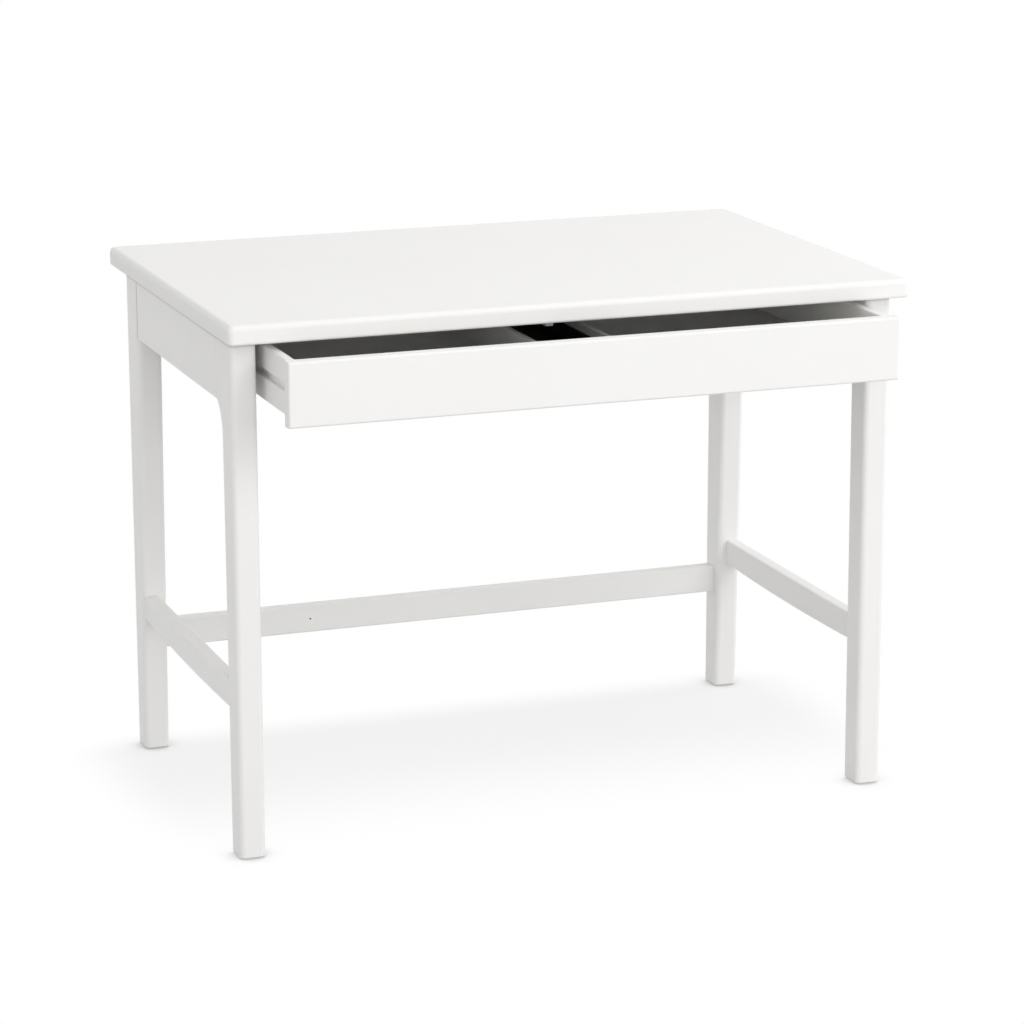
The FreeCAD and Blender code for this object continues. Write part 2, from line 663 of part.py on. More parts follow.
def make_frame():
    """Legs, rails, stretchers and runners, with what joins them, under the top."""
    side_rail_holes, back_rail_holes = make_top()
    dowels, holes = frame_dowels()
    rail_bolt, rail_bolt_hole, rail_cam, rail_cam_hole = cam_fitting(
        "rail_cam", "back_rail_back", "rail_mid_z")
    bar_bolt, bar_bolt_hole, bar_cam, bar_cam_hole = cam_fitting(
        "bar_cam", "back_stretcher_back", "back_stretcher_mid_z")
    driven, runner_holes = runner_screws()
    front_glide, front_glide_hole = glide("front_glide", "front_foot_mid")
    rear_glide, rear_glide_hole = glide("rear_glide", "rear_leg_mid")
    clip_hole = pin("clip_hole", "y", "clip_hole_radius", "clip_hole_depth",
                    ("clip_hole_from_leg - leg_inner", "back_stretcher_front + clip_hole_depth / 2",
                     "back_stretcher_mid_z"))

    front_leg_holes = holes["knee"] + holes["front_bar"] + [front_glide_hole]
    rear_leg_holes = (holes["post"] + holes["back"] + holes["rear_bar"] + holes["cross_bar"]
                      + [rail_bolt_hole, bar_bolt_hole, rear_glide_hole])
    side_rail_holes = side_rail_holes + holes["knee"] + holes["post"] + runner_holes
    back_rail_holes = back_rail_holes + holes["back"] + [rail_bolt_hole, rail_cam_hole]
    side_bar_holes = holes["front_bar"] + holes["rear_bar"]
    back_bar_holes = holes["cross_bar"] + [bar_bolt_hole, bar_cam_hole]
    pair(cut(front_leg_blank(), front_leg_holes, "front_leg"), "leg_front")
    pair(cut(rear_leg_blank(), rear_leg_holes, "rear_leg"), "leg_rear")
    pair(cut(side_rail_blank(), side_rail_holes, "side_rail"), "side_rail")
    node(cut(back_rail_blank(), with_mirror(back_rail_holes), "back_rail"), "back_rail")
    pair(cut(side_stretcher_blank(), side_bar_holes, "side_stretcher"), "side_stretcher")
    node(cut(back_stretcher_blank(), with_mirror(back_bar_holes) + [clip_hole], "back_stretcher"),
         "back_stretcher")
    pair(cut(runner_blank(), runner_holes, "runner"), "drawer_runner")
    group(dowels["knee"] + dowels["post"] + dowels["back"], "rail_dowels")
    group(dowels["front_bar"] + dowels["rear_bar"] + dowels["cross_bar"], "stretcher_dowels")
    group([rail_bolt, bar_bolt], "cam_bolts")
    group([rail_cam, bar_cam], "cam_locks")
    group(driven, "runner_screws")
    group([front_glide, rear_glide], "foot_glides")


# Drawer


def drawer_front_blank():
    """Plain drawer front with eased edges all round its face."""
    corners = rectangle("drawer_front_width", "drawer_front_height")
    body = board("drawer_front_blank", "XZ_Plane", corners, "drawer_front_thick")
    soften(body, "drawer_front_round", lambda edge: near(edge.CenterOfMass.y, 0))
    return place(body, "-drawer_front_end", "drawer_face", "drawer_front_low")


def drawer_side_blank():
    """Drawer side with eased upper edges; it runs on behind the back to stay on the runner."""
    corners = rectangle("drawer_side_length", "drawer_side_height")
    body = board("drawer_side_blank", "YZ_Plane", corners, "drawer_side_thick")
    soften(body, "drawer_side_round",
           lambda edge: runs_along(edge, "y") and near(edge.CenterOfMass.z, value("drawer_side_height")))
    return place(body, "-drawer_side_outer", "drawer_front_back", "drawer_side_low")


def drawer_back_blank():
    """Drawer back between the sides, with eased upper edges."""
    corners = rectangle("drawer_back_thick", "drawer_side_height")
    body = board("drawer_back_blank", "YZ_Plane", corners, "drawer_inner_width")
    soften(body, "drawer_side_round",
           lambda edge: runs_along(edge, "x") and near(edge.CenterOfMass.z, value("drawer_side_height")))
    return place(body, "-drawer_side_inner", "drawer_back_front", "drawer_side_low")


def divider_blank():
    """Left divider, housed in the drawer front and back."""
    corners = rectangle("divider_length", "divider_height")
    body = board("divider_blank", "YZ_Plane", corners, "divider_thick")
    soften(body, "drawer_side_round",
           lambda edge: runs_along(edge, "y") and near(edge.CenterOfMass.z, value("divider_height")))
    return place(body, "-divider_outer", "drawer_front_back - divider_entry", "panel_top")


def pen_tray():
    """Moulded tray with rounded corners, open above."""
    outer = board("tray_outside", "XY_Plane", rectangle("tray_width", "tray_length"), "tray_height")
    soften(outer, "tray_corner_round", lambda edge: runs_along(edge, "z"))
    place(outer, "-tray_width / 2", "drawer_front_back + tray_fit", "panel_top")
    inner_corners = rectangle("tray_inner_width", "tray_inner_length")
    inner = board("tray_inside", "XY_Plane", inner_corners, "tray_height")
    soften(inner, "tray_inner_round", lambda edge: runs_along(edge, "z"))
    place(inner, "-tray_inner_width / 2", "drawer_front_back + tray_fit + tray_wall",
          "panel_top + tray_floor")
    return cut(outer, [inner], "tray")


def make_drawer():
    """Drawer box with its bottom, dividers and pen tray."""
    heights = ("drawer_dowel_low", "drawer_dowel_high")
    front_dowels, front_holes = dowel_pair("drawer_front_dowel", "y", "drawer_dowel",
                                           ("-drawer_side_mid_x", "drawer_front_back"), heights)
    back_dowels, back_holes = dowel_pair("drawer_back_dowel", "x", "drawer_dowel",
                                         ("-drawer_side_inner", "drawer_back_mid_y"), heights)
    groove = block("runner_groove", ("groove_depth + cut_overrun", "drawer_side_length + cut_overrun",
                                     "groove_height"),
                   ("-drawer_side_outer - cut_overrun", "drawer_front_back", "groove_low"))
    panel_slot = block("panel_slot", ("panel_width + 2 * housing_fit", "panel_length + 2 * housing_fit",
                                      "panel_thick + housing_fit"),
                       ("-panel_width / 2 - housing_fit", "drawer_front_back - panel_entry - housing_fit",
                        "panel_low"))
    divider_slot = block("divider_slot", ("divider_thick + 2 * housing_fit",
                                          "divider_length + 2 * housing_fit",
                                          "divider_height + housing_fit"),
                         ("-divider_outer - housing_fit", "drawer_front_back - divider_entry - housing_fit",
                          "panel_top"))
    housings = [panel_slot] + with_mirror([divider_slot])

    node(cut(drawer_front_blank(), with_mirror(front_holes) + housings, "front"), "drawer_front")
    pair(cut(drawer_side_blank(), front_holes + back_holes + [groove, panel_slot], "side"), "drawer_side")
    node(cut(drawer_back_blank(), with_mirror(back_holes) + housings, "back"), "drawer_back")
    node(block("panel", ("panel_width", "panel_length", "panel_thick"),
               ("-panel_width / 2", "drawer_front_back - panel_entry", "panel_low")), "drawer_bottom")
    pair(divider_blank(), "drawer_divider")
    node(pen_tray(), "pen_tray")
    group(front_dowels + back_dowels, "drawer_dowels")


def write_nodes():
    """Check every object of the document, then write one file for each sub-part."""
    doc.recompute()
    failed = [item.Name for item in doc.Objects if "Invalid" in item.State or "Error" in item.State]
    if failed:
        raise RuntimeError("failed objects: " + ", ".join(failed))
    for item in nodes:
        if item.Shape.isNull() or not item.Shape.isValid():
            raise RuntimeError("bad shape: " + item.Label)
    os.makedirs("parts", exist_ok=True)
    for item in nodes:
        item.Shape.exportStep(f"parts/{item.Label}.step")


fill_sheet()
make_frame()
make_drawer()
write_nodes()
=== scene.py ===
import math

import bmesh
import bpy
from bpy.props import FloatProperty, FloatVectorProperty, PointerProperty
from mathutils import Matrix, Vector


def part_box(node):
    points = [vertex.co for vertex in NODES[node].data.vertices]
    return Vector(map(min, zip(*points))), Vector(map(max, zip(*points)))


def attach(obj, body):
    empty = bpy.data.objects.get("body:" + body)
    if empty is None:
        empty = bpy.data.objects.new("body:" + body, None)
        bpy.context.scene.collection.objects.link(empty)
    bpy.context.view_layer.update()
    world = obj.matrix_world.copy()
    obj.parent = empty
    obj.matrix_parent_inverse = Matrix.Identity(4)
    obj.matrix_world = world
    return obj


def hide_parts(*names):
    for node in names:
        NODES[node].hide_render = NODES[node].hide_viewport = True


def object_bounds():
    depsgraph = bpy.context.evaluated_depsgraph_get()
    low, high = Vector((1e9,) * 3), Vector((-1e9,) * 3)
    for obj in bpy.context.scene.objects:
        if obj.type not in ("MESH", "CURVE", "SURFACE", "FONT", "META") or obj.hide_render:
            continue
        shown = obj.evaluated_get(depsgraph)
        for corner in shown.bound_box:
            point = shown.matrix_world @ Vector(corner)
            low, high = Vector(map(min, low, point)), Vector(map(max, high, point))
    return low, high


bl_info = {
    "name": "Writing Desk",
    "version": (1, 0, 0),
    "blender": (4, 5, 0),
    "location": "View3D > Sidebar > Desk",
    "description": "Finishes a white writing desk with one wide drawer and sets it on a floor",
    "category": "Object",
}

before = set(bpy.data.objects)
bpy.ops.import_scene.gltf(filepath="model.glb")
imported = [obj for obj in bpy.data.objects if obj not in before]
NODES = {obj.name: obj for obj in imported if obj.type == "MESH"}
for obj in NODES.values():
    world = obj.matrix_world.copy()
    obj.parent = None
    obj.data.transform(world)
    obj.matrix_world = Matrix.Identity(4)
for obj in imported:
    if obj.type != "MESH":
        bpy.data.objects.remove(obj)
CAD_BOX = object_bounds()
MM = 0.001
WHITE = (1, 1, 1, 1)

# Ends of a side rail, front of a drawer side, and the floor between the feet
RAIL_LOW, RAIL_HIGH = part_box("side_rail_left")
DRAWER_SIDE_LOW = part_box("drawer_side_left")[0]
FEET_LOW, FEET_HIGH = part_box("foot_glides")

# How strongly the painted shade shows along each joint gap and under the top
FRONT_JOINT_SHADE = 0.05
REAR_JOINT_SHADE = 1.0
# Painted shade under the top, where the rails and legs meet it
PAINTED_TOP_SHADE = 0.75
DRAWER_JOINT_SHADE = 0.4

# Paint film: share of lighter and darker tones, change of gloss, lighter edges and fine bumps
TONE_CHANGE = 0.015
GLOSS_CHANGE = 0.05
EDGE_SHARE = 0.25
EDGE_SHADE = 1.06
PAINT_SPECULAR = 0.3
FILM_DEPTH = 0.05 * MM
FILM_STRENGTH = 0.35

# Screws: flat rim of the head, cone under it, point, and depth of the recess by the head's radius
HEAD_RIM = 0.15 * MM
CONE_SLOPE = 0.6
CONE_LAND = 1.0 * MM
POINT_LENGTH = 4 * MM
TIP_SHARE = 0.1
SCREW_RECESS = 0.5

# Cam locks: each corner of the rim as a share of the radius and a depth below the face
CAM_RIM = ((0.8, 0.35 * MM), (0.86, 0.0), (0.96, 0.0), (1.0, 0.3 * MM))
CAM_RECESS = 3 * MM

# Length and width of a cross recess at its floor, as shares of those at its mouth
RECESS_FLOOR = (0.55, 0.6)
SHARP_ANGLE = math.radians(35)

# Stage: half width of the floor, and the rise between which the light of the walls fades
FLOOR_REACH = 40.0
WALL_FOOT, WALL_HEAD = 0.05, 0.6
SENSOR_WIDTH = 36

# Place, width and height of each lamp, and the setting that holds its power
LAMPS = {
    "key_lamp": ((2.2, -4.2, 3.4), (2.4, 2.4), "key_power"),
    "front_lamp": ((-0.4, -5.2, 1.75), (3.0, 0.6), "front_power"),
    "right_lamp": ((6.0, 1.4, 4.2), (3.0, 3.0), "right_power"),
    "overhead_lamp": ((0.0, -0.7, 2.4), (1.4, 1.4), "overhead_power"),
}


# Sizes and colours


class PaintSettings(bpy.types.PropertyGroup):
    """Satin paint of the top, the frame and the drawer."""

    colour: FloatVectorProperty(
        name="Paint colour", description="Colour of the white paint", subtype="COLOR",
        size=3, min=0, max=1, default=(0.875, 0.868, 0.852))
    top_roughness: FloatProperty(
        name="Top roughness", description="Roughness of the rubbed-down top", subtype="FACTOR",
        min=0, max=1, default=0.70)
    frame_roughness: FloatProperty(
        name="Frame roughness", description="Roughness of the legs, rails, stretchers and drawer",
        subtype="FACTOR", min=0, max=1, default=0.48)
    peel_size: FloatProperty(
        name="Spray texture", description="Size of the soft bumps that spraying leaves",
        unit="LENGTH", min=0.2 * MM, max=10 * MM, default=1.6 * MM)
    ease: FloatProperty(
        name="Eased arris", description="Radius to which sanding has eased the sharp edges",
        unit="LENGTH", min=0, max=3 * MM, default=0.8 * MM)
    # Width of the painted shade line that darkens each joint gap
    joint_shade_width: FloatProperty(
        name="Joint line", description="Width of the fine line where two painted pieces meet",
        unit="LENGTH", min=0, max=5 * MM, default=3.0 * MM)
    shade_width: FloatProperty(
        name="Shade under the top", description="Width of the soft shade where frame and top meet",
        unit="LENGTH", min=0, max=40 * MM, default=11.5 * MM)
    # Colour of the painted shade at the joints and under the top
    painted_shade_colour: FloatVectorProperty(
        name="Joint line colour", description="Colour of the shaded joint lines", subtype="COLOR",
        size=3, min=0, max=1, default=(0.22, 0.21, 0.20))


class InsideSettings(bpy.types.PropertyGroup):
    """Finishes of the drawer's inside."""

    board_colour: FloatVectorProperty(
        name="Board colour", description="Colour of the foil on the drawer bottom and dividers",
        subtype="COLOR", size=3, min=0, max=1, default=(0.68, 0.68, 0.66))
    tray_colour: FloatVectorProperty(
        name="Tray colour", description="Colour of the moulded pen tray", subtype="COLOR",
        size=3, min=0, max=1, default=(0.012, 0.012, 0.011))


class FittingSettings(bpy.types.PropertyGroup):
    """Finishes and recesses of the small fittings."""

    steel_colour: FloatVectorProperty(
        name="Steel colour", description="Colour of the zinc plated screws, cams and brackets",
        subtype="COLOR", size=3, min=0, max=1, default=(0.60, 0.61, 0.62))
    wood_colour: FloatVectorProperty(
        name="Dowel colour", description="Colour of the beech dowels", subtype="COLOR",
        size=3, min=0, max=1, default=(0.56, 0.38, 0.22))
    stop_colour: FloatVectorProperty(
        name="Stop colour", description="Colour of the moulded drawer stop", subtype="COLOR",
        size=3, min=0, max=1, default=(0.82, 0.82, 0.80))
    glide_colour: FloatVectorProperty(
        name="Glide colour", description="Colour of the foot glides", subtype="COLOR",
        size=3, min=0, max=1, default=(0.17, 0.17, 0.165))
    recess_reach: FloatProperty(
        name="Recess reach", subtype="FACTOR", min=0.2, max=0.8, default=0.56,
        description="Length of a cross recess's arms as a share of the head's radius")
    recess_width: FloatProperty(
        name="Recess width", subtype="FACTOR", min=0.05, max=0.3, default=0.13,
        description="Half width of a recess's arms as a share of the head's radius")


class StageSettings(bpy.types.PropertyGroup):
    """Floor, light and camera."""

    azimuth: FloatProperty(
        name="Camera azimuth", description="Turn of the camera about the desk from straight ahead",
        subtype="ANGLE", default=math.radians(-20.01))
    elevation: FloatProperty(
        name="Camera elevation", description="Rise of the camera above the horizon",
        subtype="ANGLE", default=math.radians(14.23))
    roll: FloatProperty(
        name="Camera roll", description="Tilt of the camera about its line of sight",
        subtype="ANGLE", default=math.radians(-0.11))
    distance: FloatProperty(
        name="Camera distance", description="Distance of the camera from the point it looks at",
        unit="LENGTH", min=0.5, default=5.24625)
    lens: FloatProperty(
        name="Lens", description="Focal length for a 36 mm wide sensor, in millimetres",
        min=10, max=400, default=124.57)
    target: FloatVectorProperty(
        name="Camera target", description="Point that the camera looks at", subtype="TRANSLATION",
        size=3, default=(0.0192, 0.0425, 0.3837))
    ambient: FloatProperty(
        name="Room light", description="Strength of the even light of the room",
        min=0, max=2, default=0.60)
    wall_light: FloatProperty(
        name="Wall light", description="Strength that the room's pale walls add near the horizon",
        min=0, max=2, default=0.79)
    key_power: FloatProperty(
        name="Key lamp", description="Power of the soft box high at the front right",
        unit="POWER", min=0, default=65)
    front_power: FloatProperty(
        name="Front lamp", description="Power of the strip lamp in front of the desk",
        unit="POWER", min=0, default=32)
    right_power: FloatProperty(
        name="Right lamp", description="Power of the large soft box far at the right",
        unit="POWER", min=0, default=150)
    overhead_power: FloatProperty(
        name="Overhead lamp", description="Power of the soft box above the desk",
        unit="POWER", min=0, default=1.5)
    floor_colour: FloatVectorProperty(
        name="Floor colour", description="Colour of the floor under its white veil",
        subtype="COLOR", size=3, min=0, max=1, default=(0.55, 0.55, 0.55))
    floor_veil: FloatProperty(
        name="Floor veil", description="Share of plain white over the lit floor under the desk",
        subtype="FACTOR", min=0, max=1, default=0.80)
    shade_depth: FloatProperty(
        name="Shade depth", unit="LENGTH", min=0, default=0.15,
        description="Distance before the back of the rear feet at which the full shade begins")
    shade_inset: FloatProperty(
        name="Shade inset", unit="LENGTH", min=0, default=0.05,
        description="Distance before the back of the rear feet at which the full shade ends")
    side_reach: FloatProperty(
        name="Side reach", unit="LENGTH", min=0.01, default=0.14,
        description="Distance beside the feet over which the floor turns white")
    front_reach: FloatProperty(
        name="Front reach", unit="LENGTH", min=0.01, default=0.42,
        description="Distance before the full shade over which the floor turns white")
    rear_reach: FloatProperty(
        name="Rear reach", unit="LENGTH", min=0.01, default=0.11,
        description="Distance behind the full shade over which the floor turns white")
    contact_reach: FloatProperty(
        name="Contact reach", description="Distance from a foot within which the floor is darker",
        unit="LENGTH", min=0.005, default=0.09)
    contact_veil: FloatProperty(
        name="Contact veil", description="Share of the white veil that is left beside a foot",
        subtype="FACTOR", min=0, max=1, default=0.42)


# Shader building blocks


def feed(tree, socket, content):
    """Link a socket to another one, or set it to a plain value."""
    if isinstance(content, bpy.types.NodeSocket):
        tree.links.new(content, socket)
    else:
        socket.default_value = content


def add(tree, kind, inputs=None, **attributes):
    """New node with its attributes set and its inputs fed."""
    made = tree.nodes.new(kind)
    for name, content in attributes.items():
        setattr(made, name, content)
    for name, content in (inputs or {}).items():
        feed(tree, made.inputs[name], content)
    return made


def compute(tree, operation, *contents):
    """Result of a math node."""
    return add(tree, "ShaderNodeMath", dict(enumerate(contents)), operation=operation).outputs[0]


def steer(tree, operation, *contents):
    """Vector that a vector math node gives."""
    node = add(tree, "ShaderNodeVectorMath", dict(enumerate(contents)), operation=operation)
    return node.outputs["Vector"]


def measure(tree, operation, *contents):
    """Value that a vector math node gives."""
    node = add(tree, "ShaderNodeVectorMath", dict(enumerate(contents)), operation=operation)
    return node.outputs["Value"]


def blend(tree, share, first, second):
    """Colour between two colours."""
    mixer = add(tree, "ShaderNodeMix", data_type="RGBA")
    for name, content in (("Factor_Float", share), ("A_Color", first), ("B_Color", second)):
        feed(tree, next(item for item in mixer.inputs if item.identifier == name), content)
    return next(item for item in mixer.outputs if item.identifier == "Result_Color")


def spread(tree, content, low, high, start=0.0, end=1.0):
    """Value moved from one range to another with soft ends."""
    inputs = {"Value": content, "From Min": start, "From Max": end, "To Min": low, "To Max": high}
    node = add(tree, "ShaderNodeMapRange", inputs, interpolation_type="SMOOTHSTEP")
    return node.outputs["Result"]


def split(tree, vector):
    """The three parts of a vector by their axes."""
    return add(tree, "ShaderNodeSeparateXYZ", {"Vector": vector}).outputs


def noise(tree, vector, scale, detail=2.0, roughness=0.5):
    """Soft noise from 0 to 1."""
    inputs = {"Vector": vector, "Scale": scale, "Detail": detail, "Roughness": roughness}
    return add(tree, "ShaderNodeTexNoise", inputs).outputs["Fac"]


def stretched(tree, vector, scale):
    """Coordinates with a scale of their own along each axis."""
    return add(tree, "ShaderNodeMapping", {"Vector": vector, "Scale": scale}).outputs["Vector"]


def rgba(colour, shade=1.0):
    """Colour of a property as a socket takes it, lighter or darker by a factor."""
    return (*(min(1.0, part * shade) for part in colour), 1.0)


def effect(name, inputs, outputs):
    """Empty shader group with named sockets: its tree, its inputs by name and its output node."""
    tree = bpy.data.node_groups.new(name, "ShaderNodeTree")
    for label, (kind, default) in inputs.items():
        socket = tree.interface.new_socket(label, in_out="INPUT", socket_type=kind)
        if default is not None:
            socket.default_value = default
    for label, kind in outputs.items():
        tree.interface.new_socket(label, in_out="OUTPUT", socket_type=kind)
    given = tree.nodes.new("NodeGroupInput").outputs
    return tree, given, tree.nodes.new("NodeGroupOutput")


def use(tree, name, **inputs):
    """Outputs of an effect placed in a material; an input's underscores stand for spaces."""
    placed = add(tree, "ShaderNodeGroup", node_tree=bpy.data.node_groups[name])
    for label, content in inputs.items():
        feed(tree, placed.inputs[label.replace("_", " ")], content)
    return placed.outputs


def make_spray():
    """Sprayed paint: the fine bumps of the film, and slow changes of tone and gloss."""
    tree, given, result = effect(
        "Sprayed Film",
        {"Vector": ("NodeSocketVector", None), "Bump Size": ("NodeSocketFloat", 1.6 * MM)},
        {"Height": "NodeSocketFloat", "Tone": "NodeSocketFloat", "Gloss": "NodeSocketFloat"})
    place = given["Vector"]
    swell_scale, swell_height = 0.06, 2.5
    scale = compute(tree, "DIVIDE", 1.0, given["Bump Size"])
    peel = noise(tree, place, scale, detail=1.5, roughness=0.4)
    swell = noise(tree, place, compute(tree, "MULTIPLY", scale, swell_scale))
    feed(tree, result.inputs["Height"],
         compute(tree, "MULTIPLY_ADD", swell, swell_height, peel))
    feed(tree, result.inputs["Tone"], noise(tree, place, 5.0, detail=3.0, roughness=0.55))
    feed(tree, result.inputs["Gloss"], noise(tree, place, 38.0, detail=3.0, roughness=0.6))


def make_ease():
    """Eased edges: the rounded normal of a sanded arris, and where the arris is."""
    tree, given, result = effect(
        "Eased Arris", {"Radius": ("NodeSocketFloat", 0.8 * MM)},
        {"Normal": "NodeSocketVector", "Edge": "NodeSocketFloat"})
    bevel = add(tree, "ShaderNodeBevel", {"Radius": given["Radius"]}, samples=6)
    rounded = bevel.outputs["Normal"]
    plain = tree.nodes.new("ShaderNodeNewGeometry").outputs["Normal"]
    agree = measure(tree, "DOT_PRODUCT", rounded, plain)
    feed(tree, result.inputs["Normal"], rounded)
    feed(tree, result.inputs["Edge"], spread(tree, agree, 1.0, 0.0, start=0.7, end=0.995))


def make_joint_shade():
    """Painted shade line where two pieces meet or where the frame meets the top, at a place along
    one axis and above a lowest height.
    """
    tree, given, result = effect(
        "Joint Line",
        {"Across": ("NodeSocketFloat", 0.0), "Height": ("NodeSocketFloat", 0.0),
         "Place": ("NodeSocketFloat", 0.0), "Lowest": ("NodeSocketFloat", 0.0),
         "Width": ("NodeSocketFloat", 1.2 * MM)},
        {"Mask": "NodeSocketFloat"})
    away = compute(tree, "ABSOLUTE", compute(tree, "SUBTRACT", given["Across"], given["Place"]))
    share = compute(tree, "DIVIDE", away, given["Width"])
    # Painted shade: darkest at the place, fading out over the width
    line = spread(tree, share, 1.0, 0.0, start=0.3)
    above = compute(tree, "GREATER_THAN", given["Height"], given["Lowest"])
    feed(tree, result.inputs["Mask"], compute(tree, "MULTIPLY", line, above))


def make_grain():
    """Fine grain of moulded plastic and foil: its height, its pits and slow changes of tone."""
    tree, given, result = effect(
        "Matt Grain",
        {"Vector": ("NodeSocketVector", None), "Grain Size": ("NodeSocketFloat", 0.7 * MM)},
        {"Height": "NodeSocketFloat", "Pits": "NodeSocketFloat", "Tone": "NodeSocketFloat"})
    place = given["Vector"]
    grit_scale, grit_height = 2.3, 0.5
    scale = compute(tree, "DIVIDE", 1.0, given["Grain Size"])
    voronoi = add(tree, "ShaderNodeTexVoronoi", {"Vector": place, "Scale": scale})
    cells = voronoi.outputs["Distance"]
    grit = noise(tree, place, compute(tree, "MULTIPLY", scale, grit_scale))
    feed(tree, result.inputs["Height"], compute(tree, "MULTIPLY_ADD", grit, grit_height, cells))
    feed(tree, result.inputs["Pits"], spread(tree, cells, 1.0, 0.0, start=0.05, end=0.5))
    feed(tree, result.inputs["Tone"], noise(tree, place, 7.0, detail=4.0, roughness=0.6))


def make_dust():
    """Thin dust that settles on what faces up."""
    tree, given, result = effect(
        "Settled Dust",
        {"Vector": ("NodeSocketVector", None), "Amount": ("NodeSocketFloat", 0.2)},
        {"Mask": "NodeSocketFloat"})
    place = given["Vector"]
    speck_share = 0.6
    normal = tree.nodes.new("ShaderNodeNewGeometry").outputs["Normal"]
    upward = spread(tree, split(tree, normal)["Z"], 0.0, 1.0, start=0.5)
    clouds = noise(tree, place, 16.0, detail=5.0, roughness=0.65)
    drift = spread(tree, clouds, 0.0, 1.0, start=0.35, end=0.75)
    speck = spread(tree, noise(tree, place, 900.0, detail=1.0), 0.0, 1.0, start=0.58, end=0.72)
    fallen = compute(tree, "MULTIPLY_ADD", speck, speck_share, drift)
    lying = compute(tree, "MULTIPLY", upward, fallen)
    feed(tree, result.inputs["Mask"], compute(tree, "MULTIPLY", lying, given["Amount"]))


EFFECTS = {"Sprayed Film": make_spray, "Eased Arris": make_ease, "Joint Line": make_joint_shade,
           "Matt Grain": make_grain, "Settled Dust": make_dust}


def start_material(name):
    """Empty material: itself, its tree, its shader and the coordinates of the piece it is on."""
    for label, make in EFFECTS.items():
        if label not in bpy.data.node_groups:
            make()
    material = bpy.data.materials.new(name)
    material.use_nodes = True
    tree = material.node_tree
    tree.nodes.clear()
    shader = tree.nodes.new("ShaderNodeBsdfPrincipled")
    add(tree, "ShaderNodeOutputMaterial", {"Surface": shader.outputs["BSDF"]})
    return material, tree, shader, tree.nodes.new("ShaderNodeTexCoord").outputs["Object"]


def relief(tree, shader, height, depth, strength, normal):
    """Bump of the surface over its own normal."""
    inputs = {"Height": height, "Distance": depth, "Strength": strength, "Normal": normal}
    tree.links.new(add(tree, "ShaderNodeBump", inputs).outputs["Normal"], shader.inputs["Normal"])


# Finishes


def paint(name, roughness, joints=()):
    """Satin white paint with painted shade lines; each painted shade line has its axis, place,
    lowest height, width and strength.
    """
    look = bpy.context.scene.desk_paint
    material, tree, shader, place = start_material(name)
    film = use(tree, "Sprayed Film", Vector=place, Bump_Size=look.peel_size)
    arris = use(tree, "Eased Arris", Radius=look.ease)
    darker, lighter = (rgba(look.colour, 1 + change) for change in (-TONE_CHANGE, TONE_CHANGE))
    colour = blend(tree, film["Tone"], darker, lighter)
    edge = compute(tree, "MULTIPLY", arris["Edge"], EDGE_SHARE)
    colour = blend(tree, edge, colour, rgba(look.colour, EDGE_SHADE))
    parts = split(tree, place)
    # Painted shade in the joint gaps and under the top, blended towards the shade colour
    for axis, where, lowest, width, strength in joints:
        line = use(tree, "Joint Line", Across=parts[axis], Height=parts["Z"], Place=where,
                   Lowest=lowest, Width=width)["Mask"]
        line = compute(tree, "MULTIPLY", line, strength)
        colour = blend(tree, line, colour, rgba(look.painted_shade_colour))
    feed(tree, shader.inputs["Base Color"], colour)
    uneven = spread(tree, film["Gloss"], roughness - GLOSS_CHANGE, roughness + GLOSS_CHANGE,
                    start=0.3, end=0.7)
    feed(tree, shader.inputs["Roughness"], uneven)
    shader.inputs["Specular IOR Level"].default_value = PAINT_SPECULAR
    relief(tree, shader, film["Height"], FILM_DEPTH, FILM_STRENGTH, arris["Normal"])
    return material


def moulded(name, colour, roughness, grain, dust):
    """Matt moulded plastic or foil, with a size of its grain and an amount of dust."""
    edge_share, dust_colour, dust_roughness = 0.3, (0.42, 0.41, 0.39, 1.0), 0.2
    material, tree, shader, place = start_material(name)
    surface = use(tree, "Matt Grain", Vector=place, Grain_Size=grain)
    arris = use(tree, "Eased Arris", Radius=0.5 * MM)
    fallen = use(tree, "Settled Dust", Vector=place, Amount=dust)["Mask"]
    tint = blend(tree, surface["Tone"], rgba(colour, 0.9), rgba(colour, 1.1))
    edge = compute(tree, "MULTIPLY", arris["Edge"], edge_share)
    tint = blend(tree, edge, tint, rgba(colour, 1.5))
    feed(tree, shader.inputs["Base Color"], blend(tree, fallen, tint, dust_colour))
    uneven = spread(tree, surface["Pits"], roughness - 0.06, roughness + 0.08)
    feed(tree, shader.inputs["Roughness"],
         compute(tree, "MULTIPLY_ADD", fallen, dust_roughness, uneven))
    relief(tree, shader, surface["Height"], 0.04 * MM, 0.4, arris["Normal"])
    return material


def zinc(name):
    """Zinc plated steel with fine rolling marks and a few dull spots."""
    colour = bpy.context.scene.desk_fittings.steel_colour
    material, tree, shader, place = start_material(name)
    marks = noise(tree, stretched(tree, place, (900.0, 900.0, 60.0)), 1.0,
                  detail=3.0, roughness=0.6)
    bloom = noise(tree, place, 260.0, detail=4.0, roughness=0.6)
    spots = spread(tree, bloom, 0.0, 1.0, start=0.5, end=0.75)
    arris = use(tree, "Eased Arris", Radius=0.3 * MM)
    feed(tree, shader.inputs["Base Color"],
         blend(tree, spots, rgba(colour), rgba(colour, 0.72)))
    shader.inputs["Metallic"].default_value = 1.0
    feed(tree, shader.inputs["Roughness"], spread(tree, spots, 0.3, 0.48))
    relief(tree, shader, marks, 0.02 * MM, 0.3, arris["Normal"])
    return material


